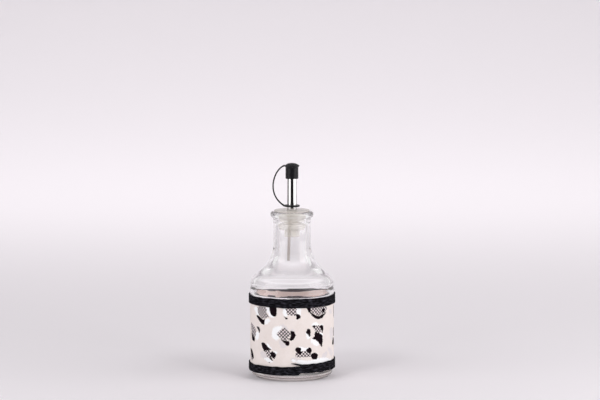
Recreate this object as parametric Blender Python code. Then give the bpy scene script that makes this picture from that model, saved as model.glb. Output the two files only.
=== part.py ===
"""Squat glass cruet for oil or vinegar, closed by a pouring stopper.

The bottle stands on its base with its axis on Z. A moulded plug sits in its mouth and carries an
upright steel spout with a thin air tube inside it. A soft cap closes the spout, and a curved strap
ties the cap to a ring that turns on the spout. A printed sleeve wraps the body, and twine is wound
round both of its edges.
"""
import math

import bmesh
import bpy
from mathutils import Matrix, Vector

# Clearances and fineness, shared by all pieces
SEAT_GAP = 0.0003
SIDE_GAP = 0.0003
CUT_OVERRUN = 0.001
MERGE_DISTANCE = 0.000001
LARGE_SEGMENTS = 48
SMALL_SEGMENTS = 32
TUBE_SEGMENTS = 16
ROUND_STEPS = 4
SWEEP_STEPS = 12
SHARP_ANGLE_DEG = 35

# Glass bottle, outside, from the base up
BODY_RADIUS = 0.0351
FOOT_RING_WIDTH = 0.0018
PUNT_HEIGHT = 0.0025
HEEL_ROUND = 0.0065
PANEL_RECESS = 0.0003
PANEL_HEIGHT = 0.0633
BEAD_PROUD = 0.0009
BEAD_RAMP = 0.0021
BEAD_LAND = 0.0030
UPPER_LAND = 0.0045
SHOULDER_HEIGHT = 0.0355
SHOULDER_START_SHARE = 0.23
SHOULDER_END_SHARE = 0.80
NECK_RADIUS = 0.0158
NECK_HEIGHT = 0.0192
FINISH_RING_PROUD = 0.0003
FINISH_RING_HEIGHT = 0.0030
FINISH_RING_DROP = 0.0012
LIP_PROUD = 0.0025
LIP_HEIGHT = 0.0050
LIP_UNDER_ROUND = 0.0024
LIP_TOP_ROUND = 0.0022

# Glass bottle, inside
WALL = 0.0030
BASE_THICKNESS = 0.0085
FLOOR_RISE = 0.0010
INNER_HEEL_ROUND = 0.0075
INNER_SHOULDER_DROP = 0.0035
INNER_FLARE_DROP = 0.0140
INNER_START_SHARE = 0.35
INNER_END_SHARE = 0.70
NECK_BORE_RADIUS = 0.0111
MOUTH_RADIUS = 0.0120
MOUTH_ROUND = 0.0008
MOUTH_BELOW_FIN = 0.0029
MOUTH_FUNNEL = 0.0145

# Printed sleeve
SLEEVE_THICKNESS = 0.0005
SLEEVE_LOWER_MARGIN = 0.0010
SLEEVE_UPPER_MARGIN = 0.0018
SLEEVE_SEAM_GAP = 0.0006

# Twine windings
TWINE_DIAMETER = 0.00118
TWINE_PITCH = 0.00162
TWINE_TURNS = 5
TWINE_LOOP_POINTS = 24
UPPER_TWINE_START_DEG = 97.5
UPPER_TWINE_HAND = 1
LOWER_TWINE_START_DEG = -88
LOWER_TWINE_HAND = -1
LOWER_TWINE_DROP = 0.0013

# Moulded plug, from the lip's top face down
FLANGE_OVERHANG = 0.0030
FLANGE_THICKNESS = 0.0010
FLANGE_ROUND = 0.0005
COLLAR_INSET = 0.0019
COLLAR_HEIGHT = 0.0007
UPPER_FIN_HEIGHT = 0.0090
UPPER_FIN_TAPER = 0.0014
UPPER_FIN_LEAD = 0.0045
FIN_GROOVE = 0.0018
LOWER_FIN_HEIGHT = 0.0051
LOWER_FIN_TAPER = 0.0016
LOWER_FIN_LEAD = 0.0026
CORE_WALL = 0.00205
CORE_TAIL = 0.0059
CORE_ROUND = 0.0005
CORE_FLOOR = 0.0060
CHANNEL_LEDGE = 0.00065
PORT_RADIUS = 0.0020
PORT_MARGIN = 0.0002

# Steel spout and air tube
SPOUT_SEAT_DEPTH = 0.0065
SPOUT_LENGTH = 0.0436
SPOUT_BASE_RADIUS = 0.00425
SPOUT_TIP_RADIUS = 0.00395
SPOUT_WALL = 0.0005
AIR_TUBE_RADIUS = 0.0012
AIR_TUBE_WALL = 0.0004
AIR_TUBE_MARGIN = 0.0005
AIR_TUBE_LEAN_DEG = 1.7
AIR_TUBE_DROP = 0.0204
AIR_TUBE_BELOW_TIP = 0.0135

# Tether ring, strap and cap
RING_ABOVE_FLANGE = 0.00265
RING_THICKNESS = 0.0015
RING_WIDTH = 0.00205
RING_ROUND = 0.0004
STRAP_DIAMETER = 0.00115
STRAP_POINTS = 26
STRAP_CAP_REACH = 0.0074
STRAP_CAP_DROOP = 0.0014
STRAP_RING_REACH = 0.0167
STRAP_RING_RISE = 0.0106
CAP_WALL = 0.00114
CAP_REACH = 0.0095
CAP_EDGE_ROUND = 0.0003
CAP_CROWN = 0.0035
CAP_RIM_PROUD = 0.00085
CAP_RIM_THICKNESS = 0.0008
CAP_RIM_FLARE = 0.0008
CAP_DOME_HEIGHT = 0.0019
CAP_DOME_INSET = 0.0004

# Heights and radii that follow from the sizes above
PANEL_RADIUS = BODY_RADIUS - PANEL_RECESS
FOOT_RADIUS = PANEL_RADIUS - HEEL_ROUND
BEAD_RADIUS = BODY_RADIUS + BEAD_PROUD
LIP_RADIUS = NECK_RADIUS + LIP_PROUD
PANEL_TOP = HEEL_ROUND + PANEL_HEIGHT
BEAD_BOTTOM = PANEL_TOP + BEAD_RAMP
BEAD_TOP = BEAD_BOTTOM + BEAD_LAND
SHOULDER_BOTTOM = BEAD_TOP + BEAD_RAMP + UPPER_LAND
NECK_BOTTOM = SHOULDER_BOTTOM + SHOULDER_HEIGHT
LIP_BOTTOM = NECK_BOTTOM + NECK_HEIGHT
LIP_TOP = LIP_BOTTOM + LIP_HEIGHT
SLEEVE_BOTTOM = HEEL_ROUND + SLEEVE_LOWER_MARGIN
SLEEVE_TOP = PANEL_TOP - SLEEVE_UPPER_MARGIN
FLANGE_RADIUS = MOUTH_RADIUS + FLANGE_OVERHANG
FIN_RADIUS = MOUTH_RADIUS - SIDE_GAP
COLLAR_RADIUS = FIN_RADIUS - COLLAR_INSET
SOCKET_RADIUS = SPOUT_BASE_RADIUS + SIDE_GAP
CORE_RADIUS = SOCKET_RADIUS + CORE_WALL
CHANNEL_RADIUS = SOCKET_RADIUS - CHANNEL_LEDGE
UPPER_FIN_BOTTOM = -COLLAR_HEIGHT - UPPER_FIN_HEIGHT
LOWER_FIN_TOP = UPPER_FIN_BOTTOM - FIN_GROOVE
LOWER_FIN_BOTTOM = LOWER_FIN_TOP - LOWER_FIN_HEIGHT
CORE_BOTTOM = LOWER_FIN_BOTTOM - CORE_TAIL
CHANNEL_BOTTOM = CORE_BOTTOM + CORE_FLOOR
SPOUT_BOTTOM = SEAT_GAP - SPOUT_SEAT_DEPTH
SPOUT_TIP = SPOUT_BOTTOM + SPOUT_LENGTH
FLANGE_TOP = SEAT_GAP + FLANGE_THICKNESS
RING_BORE_RADIUS = SPOUT_BASE_RADIUS + SIDE_GAP
RING_RADIUS = RING_BORE_RADIUS + RING_WIDTH
RING_BOTTOM = FLANGE_TOP + RING_ABOVE_FLANGE
RING_TOP = RING_BOTTOM + RING_THICKNESS
SPOUT_TAPER = (SPOUT_BASE_RADIUS - SPOUT_TIP_RADIUS) / SPOUT_LENGTH
CAP_BORE_RADIUS = SPOUT_TIP_RADIUS + max(SPOUT_TAPER, 0) * CAP_REACH + SIDE_GAP
CAP_RADIUS = CAP_BORE_RADIUS + CAP_WALL
CAP_RIM_RADIUS = CAP_RADIUS + CAP_RIM_PROUD
CAP_BOTTOM = SPOUT_TIP - CAP_REACH
CAP_CEILING = SPOUT_TIP + SEAT_GAP
CAP_TOP = CAP_CEILING + CAP_CROWN
RIM_TOP = CAP_TOP - CAP_DOME_HEIGHT
RIM_BOTTOM = RIM_TOP - CAP_RIM_THICKNESS


def clear_scene():
    """Remove every object that is already in the scene."""
    for old in list(bpy.data.objects):
        bpy.data.objects.remove(old, do_unlink=True)


def material(name, colour, roughness, metallic=0.0, transmission=0.0):
    """One Principled material in the piece's own colour."""
    made = bpy.data.materials.new(name)
    made.use_nodes = True
    shader = made.node_tree.nodes["Principled BSDF"]
    shader.inputs["Base Color"].default_value = (*colour, 1.0)
    shader.inputs["Roughness"].default_value = roughness
    shader.inputs["Metallic"].default_value = metallic
    shader.inputs["Transmission Weight"].default_value = transmission
    made.diffuse_color = (*colour, 1.0)
    return made


def link(name, data, finish, parent=None):
    """Add one named piece to the scene with its own material."""
    piece = bpy.data.objects.new(name, data)
    bpy.context.collection.objects.link(piece)
    data.materials.append(finish)
    piece.parent = parent
    return piece


def as_mesh(name, shape):
    """Turn an edited shape into a mesh that is shaded smooth between its sharp edges."""
    mesh = bpy.data.meshes.new(name)
    shape.to_mesh(mesh)
    shape.free()
    mesh.shade_smooth()
    mesh.set_sharp_from_angle(angle=math.radians(SHARP_ANGLE_DEG))
    return mesh


def axis_empty(name, height):
    """An empty on the bottle's axis that carries the pieces of one moving body."""
    empty = bpy.data.objects.new(name, None)
    bpy.context.collection.objects.link(empty)
    empty.location = (0, 0, height)
    return empty


def arc(centre_radius, centre_height, size, start_deg, end_deg):
    """Points of a round, with 0 degrees outwards and 90 degrees up."""
    points = []
    for step in range(ROUND_STEPS + 1):
        angle = math.radians(start_deg + (end_deg - start_deg) * step / ROUND_STEPS)
        points.append((centre_radius + size * math.cos(angle),
                       centre_height + size * math.sin(angle)))
    return points


def sweep(start, start_handle, end_handle, end, steps=SWEEP_STEPS):
    """Points of one cubic curve in the plane of the two coordinates given."""
    points = []
    for step in range(steps + 1):
        t = step / steps
        weights = ((1 - t) ** 3, 3 * (1 - t) ** 2 * t, 3 * (1 - t) * t ** 2, t ** 3)
        corners = (start, start_handle, end_handle, end)
        points.append(tuple(sum(w * c[k] for w, c in zip(weights, corners)) for k in range(2)))
    return points


def dome(radius, foot, rise, outwards):
    """Points of a shallow dome between the axis and its rim."""
    shares = [step / ROUND_STEPS for step in range(ROUND_STEPS + 1)]
    points = [(radius * share, foot + rise * (1 - share ** 2)) for share in shares]
    return points if outwards else points[::-1]


def turned(profile, segments, closed=True):
    """Turn a profile of (radius, height) points a full circle about Z."""
    shape = bmesh.new()
    corners = [shape.verts.new((radius, 0, height)) for radius, height in profile]
    edges = [shape.edges.new(pair) for pair in zip(corners, corners[1:])]
    if closed:
        edges.append(shape.edges.new((corners[-1], corners[0])))
    bmesh.ops.spin(shape, geom=corners + edges, cent=(0, 0, 0), axis=(0, 0, 1),
                   angle=math.tau, steps=segments, use_merge=True)
    bmesh.ops.remove_doubles(shape, verts=shape.verts, dist=MERGE_DISTANCE)
    bmesh.ops.recalc_face_normals(shape, faces=shape.faces)
    return shape


def cutter(name, radius, bottom, top, place, parent):
    """A round cutter along its own Z, which is put in place by a matrix."""
    shape = bmesh.new()
    bmesh.ops.create_cone(shape, cap_ends=True, segments=TUBE_SEGMENTS, radius1=radius,
                          radius2=radius, depth=top - bottom)
    bmesh.ops.translate(shape, verts=shape.verts, vec=(0, 0, (top + bottom) / 2))
    bmesh.ops.transform(shape, verts=shape.verts, matrix=place)
    piece = link(name, as_mesh(name, shape), material(name, (1, 1, 1), 1), parent)
    piece.hide_render = True
    piece.display_type = "WIRE"
    return piece


def cut(piece, tool):
    """Cut one piece with a cutter."""
    boolean = piece.modifiers.new(tool.name, "BOOLEAN")
    boolean.operation = "DIFFERENCE"
    boolean.solver = "EXACT"
    boolean.object = tool


def bottle_outside():
    """The outer wall, from the middle of the punt up and over the lip to the mouth."""
    foot_inner = FOOT_RADIUS - FOOT_RING_WIDTH
    under = min(LIP_UNDER_ROUND, LIP_PROUD - FINISH_RING_PROUD)
    over = min(LIP_TOP_ROUND, LIP_HEIGHT - under)
    ring_top = LIP_BOTTOM - FINISH_RING_DROP
    ring_bottom = ring_top - FINISH_RING_HEIGHT
    ring_radius = NECK_RADIUS + FINISH_RING_PROUD
    shoulder = sweep((BODY_RADIUS, SHOULDER_BOTTOM),
                     (BODY_RADIUS, SHOULDER_BOTTOM + SHOULDER_HEIGHT * SHOULDER_START_SHARE),
                     (NECK_RADIUS, NECK_BOTTOM - SHOULDER_HEIGHT * SHOULDER_END_SHARE),
                     (NECK_RADIUS, NECK_BOTTOM))
    profile = dome(foot_inner, 0, PUNT_HEIGHT, outwards=True)
    profile += arc(FOOT_RADIUS, HEEL_ROUND, HEEL_ROUND, -90, 0)
    profile += [(PANEL_RADIUS, PANEL_TOP), (BEAD_RADIUS, BEAD_BOTTOM), (BEAD_RADIUS, BEAD_TOP),
                (BODY_RADIUS, BEAD_TOP + BEAD_RAMP)]
    profile += shoulder
    profile += [(NECK_RADIUS, ring_bottom - FINISH_RING_PROUD), (ring_radius, ring_bottom),
                (ring_radius, ring_top), (NECK_RADIUS, ring_top + FINISH_RING_PROUD)]
    profile += [(NECK_RADIUS, LIP_BOTTOM)]
    profile += arc(LIP_RADIUS - under, LIP_BOTTOM + under, under, -90, 0)
    profile += arc(LIP_RADIUS - over, LIP_TOP - over, over, 0, 90)
    return profile


def bottle_inside():
    """The inner wall, from the mouth down to the middle of the floor."""
    bore = BODY_RADIUS - WALL
    floor_round = INNER_HEEL_ROUND
    fin_end = LIP_TOP + LOWER_FIN_BOTTOM
    funnel_top = fin_end - MOUTH_BELOW_FIN
    shoulder_start = SHOULDER_BOTTOM - INNER_SHOULDER_DROP
    flare_end = NECK_BOTTOM - INNER_FLARE_DROP
    rise = flare_end - shoulder_start
    shoulder = sweep((NECK_BORE_RADIUS, flare_end),
                     (NECK_BORE_RADIUS, flare_end - rise * INNER_END_SHARE),
                     (bore, shoulder_start + rise * INNER_START_SHARE),
                     (bore, shoulder_start))
    profile = arc(MOUTH_RADIUS + MOUTH_ROUND, LIP_TOP - MOUTH_ROUND, MOUTH_ROUND, 90, 180)
    profile += [(MOUTH_RADIUS, funnel_top), (NECK_BORE_RADIUS, funnel_top - MOUTH_FUNNEL)]
    profile += shoulder
    profile += arc(bore - floor_round, BASE_THICKNESS + floor_round, floor_round, 0, -90)
    profile += dome(bore - floor_round, BASE_THICKNESS, FLOOR_RISE, outwards=False)[1:]
    return profile


def make_bottle():
    """The glass, turned in one piece."""
    profile = bottle_outside() + bottle_inside()
    mesh = as_mesh("glass_bottle", turned(profile, LARGE_SEGMENTS, closed=False))
    return link("glass_bottle", mesh, material("clear_glass", (0.93, 0.95, 0.95), 0.04, 0, 1))


def make_sleeve(parent):
    """The printed sleeve, a strip bent round the panel with its butt seam at the back."""
    inner = PANEL_RADIUS + SIDE_GAP
    outer = inner + SLEEVE_THICKNESS
    seam_angle = SLEEVE_SEAM_GAP / outer
    section = ((inner, SLEEVE_BOTTOM), (outer, SLEEVE_BOTTOM), (outer, SLEEVE_TOP),
               (inner, SLEEVE_TOP))
    shape = bmesh.new()
    corners = [shape.verts.new((radius, 0, height)) for radius, height in section]
    strip_end = shape.faces.new(corners)
    bmesh.ops.rotate(shape, verts=corners,
                     matrix=Matrix.Rotation(math.pi / 2 + seam_angle / 2, 3, "Z"))
    bmesh.ops.spin(shape, geom=[strip_end], cent=(0, 0, 0), axis=(0, 0, 1),
                   angle=math.tau - seam_angle, steps=LARGE_SEGMENTS)
    bmesh.ops.recalc_face_normals(shape, faces=shape.faces)
    mesh = as_mesh("printed_sleeve", shape)
    return link("printed_sleeve", mesh, material("cream_print", (0.80, 0.73, 0.69), 0.85), parent)


def winding_points(radius, start_height, start_deg, hand):
    """Points of one winding, from its lower end up, with a straight run at both ends."""
    count = TWINE_TURNS * TWINE_LOOP_POINTS
    points = []
    for step in range(count + 1):
        angle = math.radians(start_deg) + hand * math.tau * step / TWINE_LOOP_POINTS
        height = start_height + TWINE_PITCH * step / TWINE_LOOP_POINTS
        points.append(Vector((radius * math.cos(angle), radius * math.sin(angle), height)))
    first_run = tangent_run(points[0], hand, -1)
    last_run = tangent_run(points[-1], hand, 1)
    return [first_run] + points + [last_run]


def tangent_run(point, hand, direction):
    """The end of a straight run, one diameter long, that leaves a winding square to its radius."""
    across = Vector((-point.y, point.x, 0)).normalized() * hand
    climb = TWINE_PITCH / (math.tau * point.to_2d().length)
    return point + (across + Vector((0, 0, climb))) * TWINE_DIAMETER * direction


def least_gap(points):
    """The least free distance between a winding and its own next loops."""
    half_loop = TWINE_LOOP_POINTS // 2
    nearest = min((first - second).length
                  for index, first in enumerate(points)
                  for second in points[index + half_loop:])
    return nearest - TWINE_DIAMETER


def make_winding(name, start_height, start_deg, hand, finish, parent):
    """Twine wound round the sleeve in one unbroken tube, with a hand of 1 or -1."""
    sleeve_radius = PANEL_RADIUS + SIDE_GAP + SLEEVE_THICKNESS
    flat_radius = sleeve_radius + SIDE_GAP + TWINE_DIAMETER / 2
    radius = flat_radius / math.cos(math.pi / TWINE_LOOP_POINTS)
    points = winding_points(radius, start_height, start_deg, hand)
    print(f"{name}: least gap to itself {least_gap(points) * 1000:.2f} mm")
    curve = bpy.data.curves.new(name, "CURVE")
    curve.dimensions = "3D"
    curve.bevel_depth = TWINE_DIAMETER / 2
    curve.bevel_resolution = 1
    curve.use_fill_caps = True
    spline = curve.splines.new("POLY")
    spline.points.add(len(points) - 1)
    for target, point in zip(spline.points, points):
        target.co = (*point, 1)
    return link(name, curve, finish, parent)


def plug_outside():
    """The plug's outer form, from the flange's top edge down to its bottom face."""
    flange_bottom = SEAT_GAP
    upper_top = -COLLAR_HEIGHT
    edge = min(FLANGE_ROUND, FLANGE_THICKNESS / 2)
    profile = arc(FLANGE_RADIUS - edge, FLANGE_TOP - edge, edge, 90, 0)
    profile += [(FLANGE_RADIUS, flange_bottom), (COLLAR_RADIUS, flange_bottom),
                (COLLAR_RADIUS, upper_top)]
    profile += [(FIN_RADIUS, upper_top), (FIN_RADIUS, upper_top - UPPER_FIN_LEAD),
                (FIN_RADIUS - UPPER_FIN_TAPER, UPPER_FIN_BOTTOM), (CORE_RADIUS, UPPER_FIN_BOTTOM)]
    profile += [(CORE_RADIUS, LOWER_FIN_TOP), (FIN_RADIUS, LOWER_FIN_TOP),
                (FIN_RADIUS, LOWER_FIN_TOP - LOWER_FIN_LEAD),
                (FIN_RADIUS - LOWER_FIN_TAPER, LOWER_FIN_BOTTOM), (CORE_RADIUS, LOWER_FIN_BOTTOM)]
    profile += arc(CORE_RADIUS - CORE_ROUND, CORE_BOTTOM + CORE_ROUND, CORE_ROUND, 0, -90)
    profile += [(0, CORE_BOTTOM)]
    return profile


def plug_inside():
    """The plug's bore: the channel from its floor up, the spout's ledge and the spout's socket."""
    return [(0, CHANNEL_BOTTOM), (CHANNEL_RADIUS, CHANNEL_BOTTOM),
            (CHANNEL_RADIUS, -SPOUT_SEAT_DEPTH), (SOCKET_RADIUS, -SPOUT_SEAT_DEPTH),
            (SOCKET_RADIUS, FLANGE_TOP)]


def air_tube_place():
    """The leaning axis of the air tube, beside the channel's wall where it leaves the floor."""
    offset = CHANNEL_RADIUS - AIR_TUBE_RADIUS - AIR_TUBE_MARGIN
    lean = Matrix.Rotation(math.radians(AIR_TUBE_LEAN_DEG), 4, "Y")
    return Matrix.Translation((-offset, 0, CHANNEL_BOTTOM)) @ lean


def make_plug(parent):
    """The moulded plug with its two sealing fins, its spout socket and the holes in its floor."""
    profile = plug_inside() + plug_outside()
    mesh = as_mesh("stopper_plug", turned(profile, LARGE_SEGMENTS, closed=False))
    plug = link("stopper_plug", mesh, material("milky_plastic", (0.83, 0.82, 0.81), 0.3), parent)
    bottom = -CORE_FLOOR - CUT_OVERRUN
    air_bore = cutter("air_bore_cutter", AIR_TUBE_RADIUS + SIDE_GAP, bottom, CUT_OVERRUN,
                      air_tube_place(), parent)
    port_place = Matrix.Translation((CHANNEL_RADIUS - PORT_RADIUS - PORT_MARGIN, 0, CHANNEL_BOTTOM))
    port = cutter("liquid_port_cutter", PORT_RADIUS, bottom, CUT_OVERRUN, port_place, parent)
    cut(plug, air_bore)
    cut(plug, port)
    return plug


def make_spout(parent):
    """The steel spout, a thin tube that narrows a little towards its open tip."""
    profile = [(SPOUT_BASE_RADIUS, SPOUT_BOTTOM), (SPOUT_TIP_RADIUS, SPOUT_TIP),
               (SPOUT_TIP_RADIUS - SPOUT_WALL, SPOUT_TIP),
               (SPOUT_BASE_RADIUS - SPOUT_WALL, SPOUT_BOTTOM)]
    mesh = as_mesh("pour_spout", turned(profile, SMALL_SEGMENTS))
    return link("pour_spout", mesh, material("polished_steel", (0.62, 0.61, 0.60), 0.12, 1), parent)


def make_air_tube(parent):
    """The thin tube that lets air back in, held by the plug's floor and free inside the spout."""
    lean = math.radians(AIR_TUBE_LEAN_DEG)
    lower = -(CORE_FLOOR + AIR_TUBE_DROP) / math.cos(lean)
    upper = (SPOUT_TIP - AIR_TUBE_BELOW_TIP - CHANNEL_BOTTOM) / math.cos(lean)
    inner = AIR_TUBE_RADIUS - AIR_TUBE_WALL
    shape = turned([(AIR_TUBE_RADIUS, lower), (AIR_TUBE_RADIUS, upper), (inner, upper),
                    (inner, lower)], TUBE_SEGMENTS)
    bmesh.ops.transform(shape, verts=shape.verts, matrix=air_tube_place())
    return link("air_tube", as_mesh("air_tube", shape),
                material("drawn_steel", (0.50, 0.48, 0.47), 0.3, 1), parent)


def make_ring(parent):
    """The flat ring that turns on the spout just above the flange."""
    edge = min(RING_ROUND, RING_THICKNESS / 2)
    profile = [(RING_BORE_RADIUS, RING_TOP), (RING_BORE_RADIUS, RING_BOTTOM)]
    profile += arc(RING_RADIUS - edge, RING_BOTTOM + edge, edge, -90, 0)
    profile += arc(RING_RADIUS - edge, RING_TOP - edge, edge, 0, 90)
    mesh = as_mesh("tether_ring", turned(profile, SMALL_SEGMENTS))
    return link("tether_ring", mesh, material("ring_rubber", (0.02, 0.02, 0.023), 0.45), parent)


def make_strap(parent):
    """The strap, a bowed cord of rubber between the cap's rim and the ring."""
    cap_end = -(CAP_RIM_RADIUS + SIDE_GAP)
    cap_height = (RIM_BOTTOM + RIM_TOP) / 2
    ring_end = -(RING_RADIUS + SIDE_GAP)
    ring_height = (RING_BOTTOM + RING_TOP) / 2
    route = sweep((cap_end, cap_height),
                  (cap_end - STRAP_CAP_REACH, cap_height - STRAP_CAP_DROOP),
                  (ring_end - STRAP_RING_REACH, ring_height + STRAP_RING_RISE),
                  (ring_end, ring_height), STRAP_POINTS - 1)
    curve = bpy.data.curves.new("tether_strap", "CURVE")
    curve.dimensions = "3D"
    curve.bevel_depth = STRAP_DIAMETER / 2
    curve.bevel_resolution = 2
    curve.use_fill_caps = True
    spline = curve.splines.new("POLY")
    spline.points.add(len(route) - 1)
    for target, (across, height) in zip(spline.points, route):
        target.co = (across, 0, height, 1)
    return link("tether_strap", curve, material("strap_rubber", (0.02, 0.02, 0.023), 0.5), parent)


def make_cap(parent):
    """The soft cap: a cup over the spout's tip with a thin brim and a low dome on top."""
    profile = [(0, CAP_CEILING), (CAP_BORE_RADIUS, CAP_CEILING), (CAP_BORE_RADIUS, CAP_BOTTOM)]
    profile += arc(CAP_RADIUS - CAP_EDGE_ROUND, CAP_BOTTOM + CAP_EDGE_ROUND, CAP_EDGE_ROUND, -90, 0)
    profile += [(CAP_RADIUS, RIM_BOTTOM - CAP_RIM_FLARE), (CAP_RIM_RADIUS, RIM_BOTTOM),
                (CAP_RIM_RADIUS, RIM_TOP)]
    profile += dome(CAP_RIM_RADIUS - CAP_DOME_INSET, RIM_TOP, CAP_DOME_HEIGHT, outwards=False)
    mesh = as_mesh("dust_cap", turned(profile, SMALL_SEGMENTS, closed=False))
    return link("dust_cap", mesh, material("cap_rubber", (0.02, 0.02, 0.023), 0.42), parent)


def main():
    """Build the bottle, then the stopper and what it carries, each on its own axis empty."""
    clear_scene()
    bottle = make_bottle()
    make_sleeve(bottle)
    last_loop = BEAD_BOTTOM - SIDE_GAP - TWINE_DIAMETER / 2
    make_winding("upper_twine", last_loop - TWINE_PITCH * TWINE_TURNS,
                 UPPER_TWINE_START_DEG, UPPER_TWINE_HAND,
                 material("upper_black_twine", (0.018, 0.018, 0.024), 0.9), bottle)
    make_winding("lower_twine", SLEEVE_BOTTOM - LOWER_TWINE_DROP,
                 LOWER_TWINE_START_DEG, LOWER_TWINE_HAND,
                 material("lower_black_twine", (0.018, 0.018, 0.024), 0.9), bottle)
    stopper = axis_empty("stopper_axis", LIP_TOP)
    make_plug(stopper)
    make_spout(stopper)
    make_air_tube(stopper)
    tether = axis_empty("tether_axis", LIP_TOP)
    make_ring(tether)
    make_strap(tether)
    cap = axis_empty("cap_axis", LIP_TOP)
    make_cap(cap)


main()
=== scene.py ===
"""Dresses a packed glass cruet: clear glass, printed sleeve, twine trims, pouring stopper and cap.

The file is laid out as an add-on and run as a script. Each operator makes one piece, or a group of
like pieces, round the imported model, which is loaded first and never moved.
"""
import math

import bmesh
import bpy
import numpy as np
from bpy.props import FloatProperty, FloatVectorProperty, IntProperty, PointerProperty
from bpy.types import Operator, Panel, PropertyGroup
from mathutils import Matrix, Vector, noise
from mathutils.geometry import interpolate_bezier


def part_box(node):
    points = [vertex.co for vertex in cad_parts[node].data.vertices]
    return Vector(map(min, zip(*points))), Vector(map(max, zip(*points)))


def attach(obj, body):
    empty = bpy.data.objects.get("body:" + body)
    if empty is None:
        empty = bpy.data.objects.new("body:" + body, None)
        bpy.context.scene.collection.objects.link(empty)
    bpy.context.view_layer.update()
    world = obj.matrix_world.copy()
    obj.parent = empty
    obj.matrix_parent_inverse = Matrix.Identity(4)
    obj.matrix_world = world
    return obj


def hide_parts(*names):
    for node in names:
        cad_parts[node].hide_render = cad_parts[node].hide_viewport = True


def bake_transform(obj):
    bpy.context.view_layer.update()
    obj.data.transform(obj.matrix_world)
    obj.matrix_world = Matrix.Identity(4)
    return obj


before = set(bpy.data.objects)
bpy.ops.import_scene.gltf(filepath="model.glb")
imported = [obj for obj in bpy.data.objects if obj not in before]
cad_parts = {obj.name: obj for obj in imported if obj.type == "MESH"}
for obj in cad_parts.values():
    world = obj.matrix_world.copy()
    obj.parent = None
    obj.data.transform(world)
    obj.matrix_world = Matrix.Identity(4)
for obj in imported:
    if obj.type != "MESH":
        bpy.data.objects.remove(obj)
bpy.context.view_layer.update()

bl_info = {
    "name": "Glass cruet dresser",
    "version": (1, 0, 0),
    "blender": (4, 5, 0),
    "location": "3D View > Sidebar > Cruet",
    "description": "Dresses a packed glass cruet in glass, printed cloth, twine, steel and rubber",
    "category": "Object",
}

MM = 0.001
ROUND_STEPS = 6
MERGE_DISTANCE = 1e-6
SHARP_ANGLE = math.radians(40)
CLOTH_RADIUS = 35.6 * MM
TWINE_RADIUS = 36.25 * MM

# The photograph's size in pixels, and where the middle of the bottle's foot stands in it
PHOTO_SIZE = (600, 400)
FOOT_PIXEL = (292, 375.5)

# The sleeve's print, in millimetres along the cloth from its front middle and up from the base.
# Each patch is a row of corners that its edge runs through.
WHITE_PATCHES = (
    ((-40, 61), (-33.5, 62), (-33.5, 58.5), (-32, 56), (-34.5, 55.5), (-37.5, 58)),
    ((-24, 63.5), (-19.5, 63.5), (-19, 60.5), (-15.5, 55.5), (-19, 56.5), (-22.5, 59)),
    ((-25, 52), (-22.5, 54), (-20, 53.5), (-19.5, 51), (-22, 49), (-24.5, 49)),
    ((-7.5, 64), (-5, 64), (-4, 59), (-3, 56.5), (-6.5, 56.5), (-7.5, 59.5)),
    ((2.5, 64), (7.5, 64), (8, 59), (7.5, 57), (5, 58.5), (3, 60.5)),
    ((-17.5, 44.5), (-15, 47), (-11, 48.5), (-8, 47), (-10, 44.5), (-12.5, 41.5), (-11, 38),
     (-13, 36), (-15.5, 37), (-18, 40.5)),
    ((-23, 32.5), (-20.5, 32), (-17, 28), (-18, 27.5), (-21.5, 29.5)),
    ((-17, 27), (-14, 27), (-12, 26), (-13.5, 23.5), (-15.5, 25.5)),
    ((-25, 19.5), (-21.5, 20), (-16.5, 18), (-17.5, 16), (-22.5, 16.5)),
    ((-36.5, 39.5), (-34, 41.5), (-32, 40), (-32, 36.5), (-34.5, 34), (-37.5, 35)),
    ((17, 48.5), (18.5, 49.5), (21, 50.5), (25, 49.5), (29.5, 47.5), (26, 47.5), (20.5, 47.5)),
    ((16.5, 36.5), (18.5, 37), (23.5, 34), (25, 31.5), (22.5, 30.5), (18, 33)),
    ((25, 41), (29, 40), (29, 38.5), (26, 40)),
    ((12.5, 42), (16, 39.5), (15.5, 37.5), (13.5, 37.5)),
    ((5.5, 31), (8, 30.5), (14, 29), (12.5, 27.5), (10, 26.5), (7.5, 27.5), (7.5, 29)),
    ((0.5, 19.5), (7.5, 19), (16.5, 19), (28.5, 19.5), (41.5, 17), (40.5, 15), (16.5, 14),
     (13.5, 14), (3, 17)),
)
LILAC_PATCHES = (
    ((-10.5, 36), (-7.5, 34.5), (-4.5, 31.5), (-5.5, 29.5), (-8.5, 30), (-10.5, 33)),
    ((-11, 49), (-7.5, 49.5), (-4, 47.5), (-2.5, 45.5), (-4, 45), (-8, 47)),
    ((-2.5, 45.5), (-0.5, 46), (1.5, 44.5), (3, 41.5), (1.5, 43.5)),
    ((-30.5, 24.5), (-25.5, 25), (-21.5, 20.5), (-24.5, 19.5), (-29.5, 20.5)),
    ((-0.5, 20.5), (2.5, 21.5), (7, 20.5), (7.5, 19), (0.5, 19)),
    ((28.5, 21), (33, 24.5), (36, 23.5), (35, 21), (31, 19)),
    ((36, 27), (40, 27), (47, 22), (46.5, 19.5), (40.5, 20)),
    ((39.5, 41), (43.5, 43.5), (48, 40.5), (48, 33), (42, 33.5)),
    ((38.5, 60), (43.5, 59), (43.5, 56), (39.5, 56)),
)
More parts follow.
